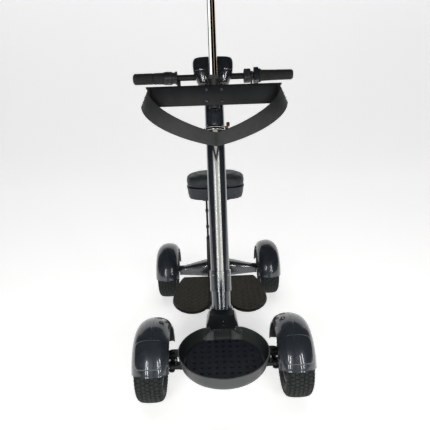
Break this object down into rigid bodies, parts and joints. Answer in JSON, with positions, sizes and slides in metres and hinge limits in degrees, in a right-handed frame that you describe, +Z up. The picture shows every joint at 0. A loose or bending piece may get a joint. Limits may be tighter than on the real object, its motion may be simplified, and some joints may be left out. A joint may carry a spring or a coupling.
{
  "type": "electric golf scooter",
  "caption": "Four-wheel electric golf scooter with a leaning steering column, bag tray and strap, standing deck, padded seat and umbrella mast.",
  "frame": {"origin": "on the ground under the middle of the whole object", "axes": "+Z up, -Y the way the scooter drives, +X the rider's left"},
  "size_m": [0.6642, 1.288, 1.5042],
  "materials": {
    "fender_plastic": "gloss slate grey",
    "gloss_black": "gloss black enamel",
    "satin_black": "satin black powder coat",
    "pod_plastic": "gloss black",
    "moulded_black": "fine grain black",
    "deck_metal": "black coated sheet",
    "tray_plastic": "satin dark grey",
    "mat_rubber": "studded",
    "black_rubber": "ribbed",
    "tyre_rubber": "block tread",
    "chrome_plate": "polished",
    "plain_steel": "zinc plated",
    "cast_aluminium": "satin",
    "silver_housing": "gloss grey enamel",
    "strap_leather": "stiff dark band",
    "seat_vinyl": "dark grey-green vinyl",
    "red_brown_plastic": "gloss",
    "screen_glass": "dark lens",
    "battery_shell": "heat shrink"
  },
  "bodies": {
    "frame": {"frame_spine": "satin_black", "front_axle_beam": "satin_black", "neck_shroud": "gloss_black", "neck_box": "moulded_black", "bag_tray": "tray_plastic", "tray_mat": "mat_rubber", "deck_plate": "deck_metal", "foot_mat_left": "black_rubber", "foot_mat_right": "black_rubber", "battery_case": "deck_metal", "battery_pack": "battery_shell", "motor_controller": "cast_aluminium", "rear_axle_housing": "silver_housing", "seat_pillar": "moulded_black", "rear_fender_left": "fender_plastic", "rear_fender_right": "fender_plastic", "column_lower": "gloss_black", "column_base_sleeve": "gloss_black", "steering_bearing": "plain_steel"},
    "column_top": {"column_upper": "gloss_black", "column_collar": "chrome_plate", "bag_plate": "satin_black", "bag_strap": "strap_leather", "umbrella_holder": "satin_black"},
    "quick_release": {"quick_release_lever": "red_brown_plastic"},
    "umbrella_mast": {"umbrella_pole": "chrome_plate"},
    "mast_knob": {"clamp_knob": "moulded_black"},
    "handlebar": {"steering_stem": "cast_aluminium", "handlebar_tube": "gloss_black", "dash_pod": "pod_plastic", "dash_display": "screen_glass", "grip_left": "black_rubber", "grip_right": "black_rubber", "throttle_housing": "moulded_black", "switch_pod": "moulded_black", "brake_housing": "pod_plastic", "throttle_cable": "black_rubber", "brake_cable": "black_rubber"},
    "throttle": {"throttle_twist": "black_rubber"},
    "brake": {"brake_lever": "moulded_black"},
    "horn": {"horn_button": "red_brown_plastic"},
    "steering_shaft": {"steering_shaft_lower": "plain_steel"},
    "tie_rod_l": {"tie_rod_left": "plain_steel"},
    "tie_rod_r": {"tie_rod_right": "plain_steel"},
    "knuckle_l": {"knuckle_left": "satin_black", "front_fender_left": "fender_plastic"},
    "knuckle_r": {"knuckle_right": "satin_black", "front_fender_right": "fender_plastic"},
    "wheel_front_l": {"tyre_front_left": "tyre_rubber", "rim_front_left": "cast_aluminium"},
    "wheel_front_r": {"tyre_front_right": "tyre_rubber", "rim_front_right": "cast_aluminium"},
    "wheel_rear_l": {"tyre_rear_left": "tyre_rubber", "rim_rear_left": "cast_aluminium"},
    "wheel_rear_r": {"tyre_rear_right": "tyre_rubber", "rim_rear_right": "cast_aluminium"},
    "seat": {"seat_base": "seat_vinyl", "seat_cushion": "seat_vinyl", "seat_post": "chrome_plate", "seat_conduit": "black_rubber"}
  },
  "joints": [
    {"name": "column_height", "type": "slide", "parent": "frame", "child": "column_top", "axis": [0, 0.2924, 0.9563], "range_m": [0, 0.1]},
    {"name": "steering", "type": "hinge", "parent": "column_top", "child": "handlebar", "pos_m": [0, -0.04925, 1.15633], "axis": [0, 0.2924, 0.9563], "range_deg": [-30, 30]},
    {"name": "shaft_turn", "type": "hinge", "parent": "frame", "child": "steering_shaft", "pos_m": [0, -0.308, 0.31], "axis": [0, 0.2924, 0.9563], "range_deg": [-30, 30]},
    {"name": "tie_rod_left_turn", "type": "hinge", "parent": "steering_shaft", "child": "tie_rod_l", "pos_m": [0, -0.3979, 0.18011], "axis": [0, 0.2924, 0.9563], "range_deg": [-30, 30]},
    {"name": "tie_rod_right_turn", "type": "hinge", "parent": "steering_shaft", "child": "tie_rod_r", "pos_m": [0, -0.39381, 0.1935], "axis": [0, 0.2924, 0.9563], "range_deg": [-30, 30]},
    {"name": "kingpin_left", "type": "hinge", "parent": "frame", "child": "knuckle_l", "pos_m": [0.188, -0.338, 0.14], "axis": [0, 0, 1], "range_deg": [-24, 24]},
    {"name": "kingpin_right", "type": "hinge", "parent": "frame", "child": "knuckle_r", "pos_m": [-0.188, -0.338, 0.14], "axis": [0, 0, 1], "range_deg": [-24, 24]},
    {"name": "wheel_front_left", "type": "hinge", "parent": "knuckle_l", "child": "wheel_front_l", "pos_m": [0.2675, -0.338, 0.14], "axis": [1, 0, 0], "continuous": true},
    {"name": "wheel_front_right", "type": "hinge", "parent": "knuckle_r", "child": "wheel_front_r", "pos_m": [-0.2675, -0.338, 0.14], "axis": [1, 0, 0], "continuous": true},
    {"name": "wheel_rear_left", "type": "hinge", "parent": "frame", "child": "wheel_rear_l", "pos_m": [0.2745, 0.486, 0.14], "axis": [1, 0, 0], "continuous": true},
    {"name": "wheel_rear_right", "type": "hinge", "parent": "frame", "child": "wheel_rear_r", "pos_m": [-0.2745, 0.486, 0.14], "axis": [1, 0, 0], "continuous": true},
    {"name": "throttle", "type": "hinge", "parent": "handlebar", "child": "throttle", "pos_m": [-0.2, -0.04925, 1.15633], "axis": [-1, 0, 0], "range_deg": [0, 60], "stiffness_Nm_per_rad": 0.25, "springref_deg": -17.19},
    {"name": "brake", "type": "hinge", "parent": "handlebar", "child": "brake", "pos_m": [0.143, -0.04925, 1.15633], "axis": [-1, 0, 0], "range_deg": [0, 30], "stiffness_Nm_per_rad": 0.3, "springref_deg": -17.19},
    {"name": "horn_press", "type": "slide", "parent": "handlebar", "child": "horn", "axis": [0, -0.9563, 0.2924], "range_m": [0, 0.0018], "stiffness_N_per_m": 400, "springref_m": -0.002},
    {"name": "quick_release", "type": "hinge", "parent": "column_top", "child": "quick_release", "pos_m": [0.044, -0.09186, 0.9759], "axis": [0, 0.2924, 0.9563], "range_deg": [0, 110]},
    {"name": "umbrella_height", "type": "slide", "parent": "column_top", "child": "umbrella_mast", "axis": [0, 0.2924, 0.9563], "range_m": [-0.08, 0.02]},
    {"name": "clamp_knob", "type": "hinge", "parent": "column_top", "child": "mast_knob", "pos_m": [0.022, -0.12945, 1.15052], "axis": [1, 0, 0], "range_deg": [0, 180]},
    {"name": "seat_height", "type": "slide", "parent": "frame", "child": "seat", "axis": [0, 0, 1], "range_m": [0, 0.08]}
  ],
  "couplings": [
    {"joint": "shaft_turn", "follows": "steering", "ratio": 1},
    {"joint": "tie_rod_left_turn", "follows": "steering", "ratio": -1},
    {"joint": "tie_rod_right_turn", "follows": "steering", "ratio": -1},
    {"joint": "kingpin_left", "follows": "steering", "ratio": 0.8},
    {"joint": "kingpin_right", "follows": "steering", "ratio": 0.8}
  ]
}
